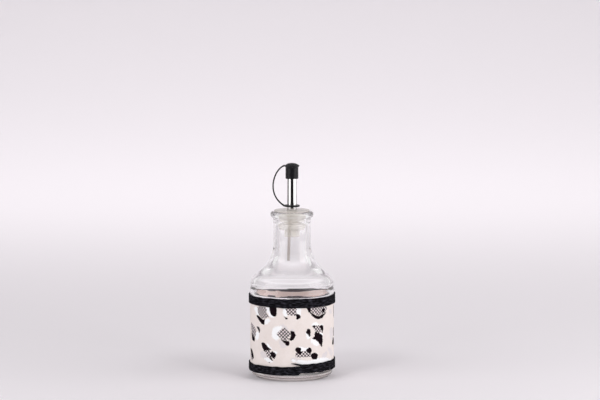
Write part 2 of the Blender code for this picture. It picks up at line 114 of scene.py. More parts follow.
NET_PATCHES = (
    ((-33.5, 62.5), (-24, 63.5), (-23, 59), (-21, 55), (-24, 54), (-26.5, 52.5), (-29.5, 54),
     (-32, 56.5), (-33.5, 58.5)),
    ((-5, 65), (-4.5, 60), (-3, 57.5), (0, 57), (3.5, 58), (3, 61), (2.5, 65)),
    ((-12.5, 41.5), (-9.5, 44.5), (-8.5, 46), (-6.5, 46.5), (-4, 45), (-2.5, 44), (-1, 41.5),
     (-3, 38), (-5, 35.5), (-7, 36), (-9.5, 38), (-11.5, 40)),
    ((16, 64.5), (17, 59.5), (20.5, 57.5), (23.5, 55.5), (26.5, 56.5), (31, 57.5), (35, 62.5)),
    ((19, 47), (20.5, 47.5), (24, 48), (27, 46.5), (27.5, 42.5), (25, 41.5), (22.5, 42.5),
     (20.5, 44)),
    ((-25, 25.5), (-23, 26.5), (-20, 27), (-18, 24.5), (-19, 21), (-21, 21), (-23, 23)),
    ((3.5, 25.5), (6.5, 25), (8, 26.5), (12.5, 26.5), (15.5, 25), (17, 23), (16.5, 22),
     (7.5, 21.5), (3.5, 22)),
    ((-48, 47), (-42, 46), (-38.5, 44), (-36.5, 41), (-38, 36.5), (-41.5, 35), (-45.5, 40)),
    ((-50, 20.5), (-44.5, 20), (-42.5, 16.5), (-46, 15)),
)
BLACK_PATCHES = (
    ((-35.5, 55), (-32, 55), (-29.5, 54), (-26.5, 52.5), (-24, 54), (-22.5, 54), (-24.5, 52.5),
     (-25.5, 48.5), (-26.5, 48), (-30, 49.5), (-33, 51.5)),
    ((-19.5, 64), (-19.5, 60.5), (-17, 57), (-15, 56), (-13.5, 57), (-13, 59), (-13.5, 64.5)),
    ((-7, 56.5), (-4.5, 56), (-3, 55), (-3.5, 54), (-5.5, 54), (-6.5, 55)),
    ((-35.5, 45.5), (-32.5, 45.5), (-30.5, 43.5), (-31.5, 41), (-33, 43)),
    ((-46.5, 41.5), (-43.5, 38), (-38.5, 35), (-39, 32.5), (-41.5, 32), (-44.5, 34)),
    ((-49.5, 25), (-44.5, 24), (-41.5, 20), (-40.5, 17.5), (-43, 17), (-48.5, 21)),
    ((-29, 32), (-27, 33), (-24.5, 32.5), (-21.5, 29.5), (-18, 27.5), (-23, 26.5), (-25, 25),
     (-27.5, 28)),
    ((-17.5, 26.5), (-15.5, 25.5), (-13.5, 23.5), (-15, 20), (-17.5, 21.5), (-19, 23.5)),
    ((-20, 21), (-18, 20.5), (-16.5, 18.5), (-17.5, 18), (-19.5, 20)),
    ((-22, 16), (-20.5, 17), (-19, 16)),
    ((-9, 37), (-6.5, 36), (-2.5, 35.5), (-2, 34), (-3, 31.5), (-4.5, 32), (-7, 34.5)),
    ((-2.5, 45), (-0.5, 44.5), (1.5, 43.5), (3, 40.5), (2, 37.5), (0, 36), (-2, 36.5),
     (-3.5, 38), (-1.5, 38.5), (-1, 41), (-1.5, 43.5)),
    ((3.5, 58), (5, 58.5), (7.5, 57), (8, 56), (7, 54.5), (4.5, 54), (4, 56)),
    ((13, 64.5), (14, 60.5), (17, 57), (20.5, 54), (24, 53), (28, 53), (31.5, 55.5), (35, 59),
     (31, 57.5), (26.5, 56.5), (23.5, 55.5), (20.5, 57.5), (17, 59.5), (16, 64.5)),
    ((28, 61), (30.5, 61.5), (32, 59.5), (30.5, 57.5), (28.5, 58.5)),
    ((18, 47.5), (19, 48), (20.5, 47.5), (19.5, 46.5)),
    ((26, 47.5), (28, 47.5), (30, 46), (29.5, 41.5), (28, 41.5), (27, 44.5)),
    ((14.5, 46), (16, 45), (16, 42), (16, 39.5), (15, 39.5), (12.5, 42.5), (13, 45)),
    ((20.5, 42), (22, 42.5), (25, 40.5), (29, 38.5), (29, 36), (28.5, 30), (27, 29.5),
     (23.5, 34), (18, 37), (20, 38.5)),
    ((2.5, 28), (3.5, 29.5), (5, 30.5), (7.5, 29), (7, 26.5), (8, 25), (6.5, 24), (4.5, 26)),
    ((12.5, 27.5), (14.5, 29), (16, 29), (17, 27.5), (17, 26), (15.5, 25)),
    ((17, 23.5), (18.5, 24.5), (21, 24.5), (23.5, 23), (23.5, 21.5), (22, 19.5), (18.5, 19),
     (16.5, 21.5)),
    ((50, 60.5), (52.5, 60.5), (52.5, 51), (51, 51)),
    ((50, 42.5), (52.5, 41.5), (52.5, 35), (50, 35.5)),
    ((48, 34), (52.5, 33), (52.5, 28.5), (45.5, 29)),
)
# Dark dye on the inner face, where the cloth meets itself at the back
STAIN_PATCHES = (
    ((-95, 64), (-95, 73), (-87, 73), (-87, 64.5), (-91, 63.5)),
    ((-115, 62.5), (-115, 73), (-101, 73), (-101, 64), (-106, 63)),
    ((101, 63.5), (101, 73), (115, 73), (115, 62.5), (108, 62)),
    ((93, 66), (94, 71), (101, 71.5), (101, 64.5)),
)
# Where the cloth's top edge was cut higher, in degrees round from the middle of the back
TOP_EDGE_PEAKS_DEG = ((-42, -27), (-17, 28))
# The back repeats the front's patches turned over, at these millimetres less their own places
TURNED_ACROSS, TURNED_UP = 108, 75.5


def linear(red, green, blue):
    """A colour read on a screen, from 0 to 255, as the linear colour that shaders take."""
    shares = (value / 255 for value in (red, green, blue))
    return tuple(s / 12.92 if s <= 0.04045 else ((s + 0.055) / 1.055) ** 2.4 for s in shares)


# Properties that a user would change


def amount(name, description, default, low=0, **form):
    """A number."""
    return FloatProperty(name=name, description=description, default=default, min=low, **form)


def count(name, description, default, low, high):
    """A whole number."""
    return IntProperty(name=name, description=description, default=default, min=low, max=high)


def length(name, description, default):
    """A length."""
    return amount(name, description, default, precision=5, unit="LENGTH", subtype="DISTANCE")


def rotation(name, description, degrees):
    """An angle."""
    return amount(name, description, math.radians(degrees), low=-math.pi, unit="ROTATION",
                  subtype="ANGLE")


def colour(name, description, screen):
    """A colour, given as it is read on a screen."""
    return FloatVectorProperty(name=name, description=description, default=linear(*screen),
                               subtype="COLOR", size=3, min=0, max=1)


class GlassSettings(PropertyGroup):
    segments: count("Segments", "Faces round the bottle", 160, 48, 240)
    wave: length("Wall wave", "How far the inner wall wanders from a true round", 0.00005)
    wave_pitch: length("Wave pitch", "Typical distance between the waves of the wall", 0.016)
    seam_width: length("Mould seam", "Width of the mould's parting lines", 0.0004)
    seam_turn: rotation("Seam turn", "Angle from the front to a mould seam", 61)
    tint: colour("Tint", "Colour that the glass gives to light going through it", (255, 255, 255))
    # Partly the glass's own tint and partly painted shade: it darkens the thick foot, where the
    # bottle stands in its own shade
    foot_tint_and_shade: colour("Foot tint", "The same in the thick glass of the foot", (222, 214, 211))


class SleeveSettings(PropertyGroup):
    cell: length("Cell", "Side of one cell of the cloth's mesh", 0.0006)
    thickness: length("Thickness", "Thickness of the cloth", 0.0005)
    net_pitch: length("Net pitch", "Distance between the lines, along the cloth", 0.0029)
    cream: colour("Cream", "Ground colour of the cloth", (233, 223, 219))
    white: colour("White", "Colour of the palest patches", (247, 247, 249))
    lilac: colour("Lilac", "Colour of the faint patches", (217, 211, 214))
    black: colour("Black", "Colour of the dark patches", (24, 15, 20))
    inside: colour("Inside", "Colour of the cloth's inner face", (250, 224, 219))


class TwineSettings(PropertyGroup):
    ply_radius: length("Ply radius", "Radius of one of the plies that are twisted together", 0.0004)
    lay: length("Lay", "Length of one full twist of the plies", 0.0032)
    reach: length("Reach", "How far a ply stands from the twine's middle, along the wall", 0.00045)
    press: length("Press", "How far a ply's middle stands from the twine's, off the wall", 0.00022)
    core_radius: length("Core radius", "Radius of the plain cores behind the plies", 0.00062)
    core_depth: length("Core depth", "How far the cores lie behind the twine's middle", 0.0005)
    fuzz_count: count("Fuzz", "Loose fibres on each trim", 320, 0, 5000)
    fuzz_length: length("Fuzz length", "Longest loose fibre", 0.0022)
    colour: colour("Colour", "Colour of the twine", (11, 10, 13))
    fleck: colour("Fleck", "Colour of its paler fibres", (78, 76, 86))


class StopperSettings(PropertyGroup):
    segments: count("Segments", "Faces round the plug", 112, 32, 200)
    tube_lean: rotation("Tube lean", "How far the air tube leans", 1.7)
    milk: colour("Milk", "Colour of the plug's milky plastic", (232, 225, 217))
    steel: colour("Steel", "Colour of the polished spout", (222, 220, 219))
    drawn_steel: colour("Drawn steel", "Colour of the thin air tube", (200, 192, 187))


class CapSettings(PropertyGroup):
    segments: count("Segments", "Faces round the cap", 72, 24, 160)
    strap_thickness: length("Strap thickness", "Thickness of the strap, from its side", 0.00125)
    strap_width_share: amount("Strap width", "Strap's width over thickness", 1.5, low=1, max=3)
    rubber: colour("Rubber", "Colour of the soft rubber", (19, 18, 21))


class StageSettings(PropertyGroup):
    paper: colour("Paper", "Colour of the floor and the backdrop", (244, 239, 243))
    board: colour("Board", "Colour of the dark boards that steel reflects", (52, 50, 51))
    left_power: amount("Left lamp", "Power of the left soft lamp", 2.7, unit="POWER")
    right_power: amount("Right lamp", "Power of the right soft lamp", 4.3, unit="POWER")
    wall_power: amount("Wall lamp", "Power of the lamp on the backdrop", 8.2, unit="POWER")
    key_power: amount("Key lamps", "Power of each front lamp", 3.5, unit="POWER")
    room_light: amount("Room light", "Strength of the light all round", 0.41)
    room_seen: amount("Room seen", "Brightness of the room through glass", 0.97)
    camera_distance: length("Camera distance", "From the camera to the bottle's foot", 2.56)
    camera_pitch: rotation("Camera pitch", "How far the camera looks down", 6.7)
    lens: amount("Lens", "Focal length of the camera", 180, low=10, unit="CAMERA")


class CruetSettings(PropertyGroup):
    glass: PointerProperty(type=GlassSettings)
    sleeve: PointerProperty(type=SleeveSettings)
    twine: PointerProperty(type=TwineSettings)
    stopper: PointerProperty(type=StopperSettings)
    cap: PointerProperty(type=CapSettings)
    stage: PointerProperty(type=StageSettings)


# Mesh work that several pieces share


def curved(start, start_handle, end_handle, end, steps):
    """Corners along one cubic curve in the outline's plane, with its first point left out."""
    knots = [Vector((*point, 0)) for point in (start, start_handle, end_handle, end)]
    points = interpolate_bezier(*knots, steps + 1)
    return [(point.x, point.y, 0) for point in points[1:]]


def outline(corners, longest=None):
    """A wire in the XZ plane through (radius, height, round) corners in millimetres."""
    shape = bmesh.new()
    verts = [shape.verts.new((radius * MM, 0, height * MM)) for radius, height, size in corners]
    for pair in zip(verts, verts[1:]):
        shape.edges.new(pair)
    for vert, (radius, height, size) in zip(verts, corners):
        if size:
            bmesh.ops.bevel(shape, geom=[vert], offset=size * MM, offset_type="OFFSET",
                            affect="VERTICES", segments=ROUND_STEPS, profile=0.5, material=-1)
    if longest:
        for edge in list(shape.edges):
            cuts = int(edge.calc_length() / longest)
            if cuts:
                bmesh.ops.subdivide_edges(shape, edges=[edge], cuts=cuts)
    return shape


def turn(shape, segments):
    """Turn an outline once round Z into a closed skin that faces outwards."""
    bmesh.ops.spin(shape, geom=shape.verts[:] + shape.edges[:], cent=(0, 0, 0), axis=(0, 0, 1),
                   angle=math.tau, steps=segments, use_merge=True)
    bmesh.ops.remove_doubles(shape, verts=shape.verts, dist=MERGE_DISTANCE)
    bmesh.ops.recalc_face_normals(shape, faces=shape.faces)
    return shape


def as_mesh(name, shape):
    """A smooth shaded mesh of an edited shape, with its sharp edges kept."""
    mesh = bpy.data.meshes.new(name)
    shape.to_mesh(mesh)
    shape.free()
    mesh.shade_smooth()
    mesh.set_sharp_from_angle(angle=SHARP_ANGLE)
    return mesh


def add_piece(name, mesh, material):
    """Put a finished mesh in the scene with its material."""
    piece = bpy.data.objects.new(name, mesh)
    bpy.context.scene.collection.objects.link(piece)
    mesh.materials.clear()
    mesh.materials.append(material)
    return piece


def dress(name, mesh, body, slot, node):
    """Add a piece, tied to the body it moves with, its material slot and the node it stands for."""
    piece = add_piece(name, mesh, finish(slot))
    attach(piece, body)
    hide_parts(node)
    return piece


def dress_turned(name, corners, segments, body, slot, node, place=Matrix.Identity(4)):
    """Turn an outline, set it at its place and dress it as one piece."""
    shape = turn(outline(corners), segments)
    bmesh.ops.transform(shape, verts=shape.verts, matrix=place)
    return dress(name, as_mesh(name, shape), body, slot, node)


def evaluated_mesh(piece):
    """The mesh of an object with its modifiers or its curve's thickness applied."""
    bpy.context.view_layer.update()
    graph = bpy.context.evaluated_depsgraph_get()
    return bpy.data.meshes.new_from_object(piece.evaluated_get(graph), depsgraph=graph)


def tube_mesh(name, routes, radius, resolution):
    """A mesh of round tubes along routes, each a list of points and a list of thickness shares."""
    curve = bpy.data.curves.new(name, "CURVE")
    curve.dimensions = "3D"
    curve.bevel_depth = radius
    curve.bevel_resolution = resolution
    curve.use_fill_caps = True
    for points, shares in routes:
        spline = curve.splines.new("POLY")
        spline.points.add(len(points) - 1)
        placed = np.ones((len(points), 4))
        placed[:, :3] = points
        spline.points.foreach_set("co", placed.ravel())
        spline.points.foreach_set("radius", np.broadcast_to(shares, len(points)).astype(float))
    holder = bpy.data.objects.new(name, curve)
    bpy.context.scene.collection.objects.link(holder)
    mesh = evaluated_mesh(holder)
    bpy.data.objects.remove(holder)
    bpy.data.curves.remove(curve)
    mesh.name = name
    mesh.shade_smooth()
    return mesh


# Materials


class Nodes:
    """A short way to add nodes to one tree and to join them."""

    def __init__(self, tree):
        self.tree = tree

    def feed(self, socket, value):
        """Join a socket to another one, or set its value."""
        if isinstance(value, bpy.types.NodeSocket):
            self.tree.links.new(value, socket)
        else:
            socket.default_value = (*value, 1) if socket.type == "RGBA" else value

    def add(self, kind, inputs=None, **settings):
        """Add a node, with its settings and then its inputs."""
        node = self.tree.nodes.new(kind)
        for key, value in settings.items():
            setattr(node, key, value)
        for key, value in (inputs or {}).items():
            self.feed(node.inputs[key], value)
        return node

    def shade(self, **values):
        """Feed the Principled shader, whose inputs are named with underscores for spaces."""
        shader = self.tree.nodes["Principled BSDF"]
        for key, value in values.items():
            self.feed(shader.inputs[key.replace("_", " ")], value)
        return shader.outputs[0]

    def math(self, operation, *values):
        """A math node's result."""
        return self.add("ShaderNodeMath", dict(enumerate(values)), operation=operation).outputs[0]

    def ramp(self, value, low, high, out_low=0.0, out_high=1.0):
        """A value brought from one range into another, smoothly and held at both ends."""
        node = self.add("ShaderNodeMapRange", {"Value": value, "From Min": low, "From Max": high,
                                               "To Min": out_low, "To Max": out_high},
                        interpolation_type="SMOOTHSTEP")
        return node.outputs["Result"]

    def blend(self, share, first, second):
        """A colour between two, by a mask."""
        return self.add("ShaderNodeMix", {0: share, 6: first, 7: second}, data_type="RGBA",
                        clamp_factor=True).outputs[2]

    def noise(self, place, scale, detail=3.0, roughness=0.55):
        """Values from 0 to 1 of a smooth noise at a place."""
        node = self.add("ShaderNodeTexNoise", {"Vector": place, "Scale": scale, "Detail": detail,
                                               "Roughness": roughness})
        return node.outputs["Fac"]

    def axes(self, vector):
        """The three numbers of a vector."""
        return self.add("ShaderNodeSeparateXYZ", {"Vector": vector}).outputs

    def bump(self, height, distance, strength=1.0):
        """A normal that follows a height."""
        node = self.add("ShaderNodeBump", {"Height": height, "Distance": distance,
                                           "Strength": strength})
        return node.outputs["Normal"]

    def smudges(self, place, scale, clean, smudged):
        """The shared hand smudges, with this finish's own values."""
        tree = bpy.data.node_groups.get("smudges") or smudge_group()
        return self.add("ShaderNodeGroup", {"Place": place, "Scale": scale, "Clean": clean,
                                            "Smudged": smudged}, node_tree=tree).outputs

    def grain(self, place, scale, depth):
        """The shared fine grain, with this finish's own values."""
        tree = bpy.data.node_groups.get("fine_grain") or grain_group()
        return self.add("ShaderNodeGroup", {"Place": place, "Scale": scale, "Depth": depth},
                        node_tree=tree).outputs


def shader_group(name, values, outputs):
    """An empty shader group that takes a place and named values."""
    tree = bpy.data.node_groups.new(name, "ShaderNodeTree")
    tree.interface.new_socket("Place", in_out="INPUT", socket_type="NodeSocketVector")
    for label, default in values.items():
        socket = tree.interface.new_socket(label, in_out="INPUT", socket_type="NodeSocketFloat")
        socket.default_value = default
    for label, kind in outputs.items():
        tree.interface.new_socket(label, in_out="OUTPUT", socket_type=kind)
    nodes = Nodes(tree)
    return nodes, nodes.add("NodeGroupInput").outputs, nodes.add("NodeGroupOutput").inputs


def smudge_group():
    """Hand smudges and fine dust: a roughness that wanders between two values."""
    nodes, given, result = shader_group(
        "smudges", {"Scale": 60.0, "Clean": 0.1, "Smudged": 0.3},
        {"Roughness": "NodeSocketFloat", "Mask": "NodeSocketFloat"})
    mask = nodes.ramp(nodes.noise(given["Place"], given["Scale"], 5.0, 0.6), 0.42, 0.72)
    spread = nodes.math("SUBTRACT", given["Smudged"], given["Clean"])
    nodes.feed(result["Mask"], mask)
    nodes.feed(result["Roughness"], nodes.math("MULTIPLY_ADD", mask, spread, given["Clean"]))
    return nodes.tree


def grain_group():
    """A fine even grain, as a mask and as a normal."""
    nodes, given, result = shader_group(
        "fine_grain", {"Scale": 900.0, "Depth": 0.00002},
        {"Mask": "NodeSocketFloat", "Normal": "NodeSocketVector"})
    fine = nodes.noise(given["Place"], given["Scale"], 4.0, 0.7)
    nodes.feed(result["Mask"], fine)
    nodes.feed(result["Normal"], nodes.bump(fine, given["Depth"]))
    return nodes.tree


def glass_finish(nodes, place, settings):
    """Clear soda glass with mould seams and a stippled foot whose darker tint is partly painted
    shade, which lets lamps shine through it.
    """
    level = nodes.axes(place)["Z"]
    smudged = nodes.smudges(place, 45.0, 0.0, 0.03)["Roughness"]
    stippled = nodes.ramp(level, 2 * MM, 6.5 * MM, 0.3, 0.0)
    turned = nodes.add("ShaderNodeMapping", {"Vector": place,
                                             "Rotation": (0, 0, settings.seam_turn)})
    from_seam = nodes.math("ABSOLUTE", nodes.axes(turned.outputs[0])["X"])
    ridge = nodes.ramp(from_seam, 0.0, settings.seam_width, 1.0, 0.0)
    swirl = nodes.noise(place, 55.0, 2.0, 0.4)
    normal = nodes.bump(nodes.math("MULTIPLY_ADD", ridge, 0.25, swirl), 0.1 * MM, 0.5)
    # Painted shade in part: the glass is tinted darker towards its foot
    tint = nodes.blend(nodes.ramp(level, 4 * MM, 9 * MM), settings.foot_tint_and_shade, settings.tint)
    glass = nodes.shade(Base_Color=tint, Roughness=nodes.math("MAXIMUM", smudged, stippled),
                        IOR=1.51, Transmission_Weight=1.0, Metallic=0.0, Normal=normal)
    clear = nodes.add("ShaderNodeBsdfTransparent", {"Color": (0.97, 0.98, 0.98)})
    shadow = nodes.add("ShaderNodeLightPath").outputs["Is Shadow Ray"]
    mixed = nodes.add("ShaderNodeMixShader", {0: shadow, 1: glass, 2: clear.outputs[0]})
    nodes.feed(nodes.tree.nodes["Material Output"].inputs["Surface"], mixed.outputs[0])


def net_colour(nodes, place, pitch):
    """Slanted dark lines that cross on a pale ground and drift a little, as printed ones do."""
    flat = nodes.add("ShaderNodeUVMap", uv_map="cloth").outputs["UV"]
    wavy = nodes.add("ShaderNodeTexNoise", {"Vector": place, "Scale": 260.0, "Detail": 1.0})
    drift = nodes.add("ShaderNodeVectorMath", {0: wavy.outputs["Color"], "Scale": 0.5 * MM},
                      operation="SCALE")
    moved = nodes.add("ShaderNodeVectorMath", {0: flat, 1: drift.outputs[0]}, operation="ADD")
    along, up, _ = nodes.axes(moved.outputs[0])
    lines = []
    for operation in ("ADD", "SUBTRACT"):
        slant = nodes.math("DIVIDE", nodes.math(operation, along, up), pitch)
        from_middle = nodes.math("SUBTRACT", nodes.math("FRACT", slant), 0.5)
        lines.append(nodes.math("ABSOLUTE", from_middle))
    net = nodes.ramp(nodes.math("MAXIMUM", *lines), 0.30, 0.36)
    return nodes.blend(net, linear(232, 222, 222), linear(38, 30, 36))


def sleeve_finish(nodes, place, settings):
    """Suede cloth with a cat's spots in black, white and a fine net on cream."""
    grain = nodes.grain(place, 1500.0, 0.06 * MM)
    wobble = 0.0
    for source, size in ((nodes.noise(place, 420.0, 2.0, 0.5), 1.0),
                         (nodes.noise(place, 170.0, 1.0, 0.4), 2.2), (grain["Mask"], 3.0)):
        wobble = nodes.math("MULTIPLY_ADD", nodes.math("SUBTRACT", source, 0.5), size, wobble)

    def mask(name, soft, wander):
        """Where the distance to a kind of patch is below zero, with an edge that wanders."""
        distance = nodes.add("ShaderNodeAttribute", attribute_name=name).outputs["Fac"]
        edge = nodes.math("MULTIPLY_ADD", wobble, wander, distance)
        return nodes.ramp(edge, soft, -soft)

    patchy = nodes.ramp(nodes.noise(place, 130.0, 4.0, 0.6), 0.3, 0.7)
    cream = nodes.blend(patchy, settings.cream, linear(228, 217, 212))
    cream = nodes.blend(nodes.ramp(grain["Mask"], 0.35, 0.65, 0.0, 0.35), cream,
                        linear(240, 234, 231))
    faint = nodes.math("MULTIPLY", mask("lilac", 0.7, 1.5), 0.75)
    cloth = nodes.blend(faint, cream, settings.lilac)
    cloth = nodes.blend(mask("white", 0.3, 1.6), cloth, settings.white)
    cloth = nodes.blend(mask("net", 0.15, 1.0), cloth,
                        net_colour(nodes, place, settings.net_pitch))
    cloth = nodes.blend(mask("black", 0.1, 1.0), cloth, settings.black)
    stained = nodes.blend(mask("stain", 0.2, 1.4), settings.inside, linear(52, 42, 52))
    behind = nodes.add("ShaderNodeAttribute", attribute_name="inner_face").outputs["Fac"]
    nodes.shade(Base_Color=nodes.blend(behind, cloth, stained), Roughness=0.95,
                Specular_IOR_Level=0.02, Sheen_Weight=0.005, Sheen_Roughness=0.5,
                Normal=grain["Normal"])


def twine_finish(nodes, place, settings):
    """Black twisted twine with paler fibres that run along it."""
    grain = nodes.grain(place, 1200.0, 0.08 * MM)
    parts = nodes.axes(place)
    turned = nodes.math("ARCTAN2", parts["X"], nodes.math("MULTIPLY", parts["Y"], -1.0))
    along = nodes.add("ShaderNodeCombineXYZ", {"X": nodes.math("MULTIPLY", turned, 6 * MM),
                                               "Z": parts["Z"]}).outputs["Vector"]
    fibres = nodes.ramp(nodes.noise(along, 1300.0, 3.0, 0.6), 0.46, 0.68)
    patchy = nodes.ramp(nodes.noise(place, 300.0, 3.0, 0.6), 0.4, 0.7, 0.6, 0.9)
    tone = nodes.blend(nodes.math("MULTIPLY", fibres, patchy), settings.colour, settings.fleck)
    nodes.shade(Base_Color=tone, Roughness=0.85, Specular_IOR_Level=0.06, Sheen_Weight=0.0,
                Normal=grain["Normal"])


def plug_finish(nodes, place, settings):
    """Milky moulded plastic that shows some of what is behind it."""
    patchy = nodes.ramp(nodes.noise(place, 160.0, 2.0), 0.3, 0.7)
    nodes.shade(Base_Color=nodes.blend(patchy, settings.milk, linear(222, 215, 206)),
                Roughness=nodes.smudges(place, 120.0, 0.38, 0.5)["Roughness"], IOR=1.46,
                Alpha=0.36, Specular_IOR_Level=0.2, Metallic=0.0,
                Normal=nodes.grain(place, 700.0, 0.02 * MM)["Normal"])


def steel_finish(nodes, place, tint, clean, smudged, streak):
    """Steel with fine lines drawn along its length."""
    drawn = nodes.add("ShaderNodeMapping", {"Vector": place, "Scale": (2600.0, 2600.0, 60.0)})
    lines = nodes.noise(drawn.outputs[0], 1.0, 3.0, 0.6)
    dimmer = tuple(0.93 * value for value in tint)
    nodes.shade(Base_Color=nodes.blend(nodes.ramp(lines, 0.3, 0.7), tint, dimmer),
                Roughness=nodes.smudges(place, 220.0, clean, smudged)["Roughness"],
                Metallic=1.0, Normal=nodes.bump(lines, streak))


def rubber_finish(nodes, place, settings):
    """Soft black rubber with a satin skin and a little dust."""
    smudged = nodes.smudges(place, 300.0, 0.26, 0.36)
    dust = nodes.math("MULTIPLY", smudged["Mask"], 0.15)
    nodes.shade(Base_Color=nodes.blend(dust, settings.rubber, linear(44, 44, 48)),
                Roughness=smudged["Roughness"], Specular_IOR_Level=0.22,
                Normal=nodes.grain(place, 1800.0, 0.02 * MM)["Normal"])


def paper_finish(nodes, place, tint):
    """Matt studio paper or board."""
    nodes.shade(Base_Color=tint, Roughness=0.9, Specular_IOR_Level=0.2,
                Normal=nodes.grain(place, 400.0, 0.01 * MM)["Normal"])


def finish(slot):
    """The material of one slot, which is made the first time it is asked for."""
    name = f"{slot}_finish"
    if name in bpy.data.materials:
        return bpy.data.materials[name]
    made = bpy.data.materials.new(name)
    made.use_nodes = True
    nodes = Nodes(made.node_tree)
    place = nodes.add("ShaderNodeTexCoord").outputs["Object"]
    cruet = bpy.context.scene.cruet
    makers = {
        "clear_glass": lambda: glass_finish(nodes, place, cruet.glass),
        "printed_cloth": lambda: sleeve_finish(nodes, place, cruet.sleeve),
        "black_twine": lambda: twine_finish(nodes, place, cruet.twine),
        "milky_plastic": lambda: plug_finish(nodes, place, cruet.stopper),
        "polished_steel": lambda: steel_finish(nodes, place, cruet.stopper.steel, 0.02, 0.06,
                                               0.001 * MM),
        "drawn_steel": lambda: steel_finish(nodes, place, cruet.stopper.drawn_steel, 0.28, 0.4,
                                            0.006 * MM),
        "black_rubber": lambda: rubber_finish(nodes, place, cruet.cap),
        "studio_paper": lambda: paper_finish(nodes, place, cruet.stage.paper),
        "black_board": lambda: paper_finish(nodes, place, cruet.stage.board),
    }
    makers[slot]()
    return made


# The glass bottle


def bottle_corners():
    """The bottle's outline, from the middle of the punt up, over the lip and down to the floor."""
    corners = [(0, 2.5, 0)] + curved((0, 2.5), (12, 2.5), (20, 1.5), (26.5, 0), 10)
    corners += [(34.8, 0, 6.5), (34.8, 69.8, 0.9), (36.0, 71.9, 1.1), (36.0, 74.9, 1.1),
                (35.1, 77.0, 0.9), (35.1, 81.5, 0)]
    corners += curved((35.1, 81.5), (35.1, 89.7), (15.8, 88.6), (15.8, 117.0), 40)
    corners += [(15.8, 131.7, 0.15), (16.1, 132.0, 0.15), (16.1, 135.0, 0.15), (15.8, 135.3, 0.15),
                (15.8, 136.2, 0.3), (18.3, 136.2, 2.3), (18.3, 141.2, 2.2), (12.0, 141.2, 0.8),
                (12.0, 125.0, 0)]
    corners += curved((12.0, 125.0), (12.0, 120.0), (11.4, 114.0), (11.4, 109.0), 14)
    corners += curved((11.4, 109.0), (11.4, 87.5), (32.1, 88.4), (32.1, 79.5), 40)
    corners += [(32.1, 8.5, 7.5)]
    corners += [(24.6, 8.5, 0)] + curved((24.6, 8.5), (17, 8.5), (9, 9.5), (0, 9.5), 12)
    return corners


class CRUET_OT_glass_bottle(Operator):
    """Turn the clear glass bottle and let its walls wander a little, as pressed glass does"""
    bl_idname = "cruet.glass_bottle"
    bl_label = "Glass bottle"
    longest_edge = 2.4 * MM
    waved_heights = (8 * MM, 122 * MM)
    inner_heights = (9 * MM, 121 * MM)
    inner_radius = 32.5 * MM
    shoulder_heights = (81.5 * MM, 117 * MM)
    neck_radius = 15 * MM
    shoulder_spread = 14 * MM
    outer_wave_share = 0.12

    def execute(self, context):
        settings = context.scene.cruet.glass
        shape = turn(outline(bottle_corners(), self.longest_edge), settings.segments)
        low, high = self.waved_heights
        for vert in shape.verts:
            flat = vert.co.to_2d()
            if vert.co.z < low or vert.co.z > high or flat.length < MM:
                continue
            size = settings.wave * (1 if self.on_inner_wall(vert.co) else self.outer_wave_share)
            vert.co.xy += flat.normalized() * (noise.noise(vert.co / settings.wave_pitch) * size)
        dress("bottle_glass", as_mesh("bottle_glass", shape), "bottle", "clear_glass",
              "glass_bottle")
        return {"FINISHED"}

    def on_inner_wall(self, place):
        """Whether a point is on the inner wall, between the base and the mouth."""
        radius, height = place.to_2d().length, place.z
        low, high = self.inner_heights
        if not (low < height < high and radius < self.inner_radius):
            return False
        start, end = self.shoulder_heights
        share = min((height - start) / (end - start), 1)
        between_walls = self.neck_radius + (1 - share) ** 2 * self.shoulder_spread
        return height < start or radius <= between_walls


# The printed sleeve


def rounded(corners):
    """The smooth closed line through a patch's corners, as short straight steps."""
    points = [Vector((*corner, 0)) for corner in corners]
    line = []
    for index, point in enumerate(points):
        before, after, beyond = (points[(index + step) % len(points)] for step in (-1, 1, 2))
        knots = (point, point + (after - before) / 6, after - (beyond - point) / 6, after)
        line += [(place.x, place.y) for place in interpolate_bezier(*knots, 5)[:-1]]
    return line


def patch_distance(across, up, patches):
    """Distance in millimetres to the nearest patch's edge, below zero inside the patch."""
    far, margin = 50.0, 4.0
    nearest = np.full(len(across), far)
    for corners in patches:
        line = rounded(corners)
        low, high = np.min(line, axis=0) - margin, np.max(line, axis=0) + margin
        near = np.flatnonzero((across > low[0]) & (across < high[0]) & (up > low[1])
                              & (up < high[1]))
        x, y = across[near], up[near]
        gap = np.full(len(near), far)
        inside = np.zeros(len(near), bool)
        for (x0, y0), (x1, y1) in zip(line, line[1:] + line[:1]):
            dx, dy = x1 - x0, y1 - y0
            share = np.clip(((x - x0) * dx + (y - y0) * dy) / (dx * dx + dy * dy), 0, 1)
            gap = np.minimum(gap, np.hypot(x - x0 - share * dx, y - y0 - share * dy))
            if dy:
                crossed = (y > min(y0, y1)) & (y <= max(y0, y1))
                inside ^= crossed & (x < x0 + (y - y0) * dx / dy)
        nearest[near] = np.minimum(nearest[near], np.where(inside, -gap, gap))
    return nearest


def all_round(patches):
    """The patches at the front, and the same ones turned over for the back."""
    turned = []
    for corners in patches:
        side = math.copysign(TURNED_ACROSS, sum(x for x, y in corners))
        turned.append(tuple((side - x, TURNED_UP - y) for x, y in corners))
    return patches + tuple(turned)


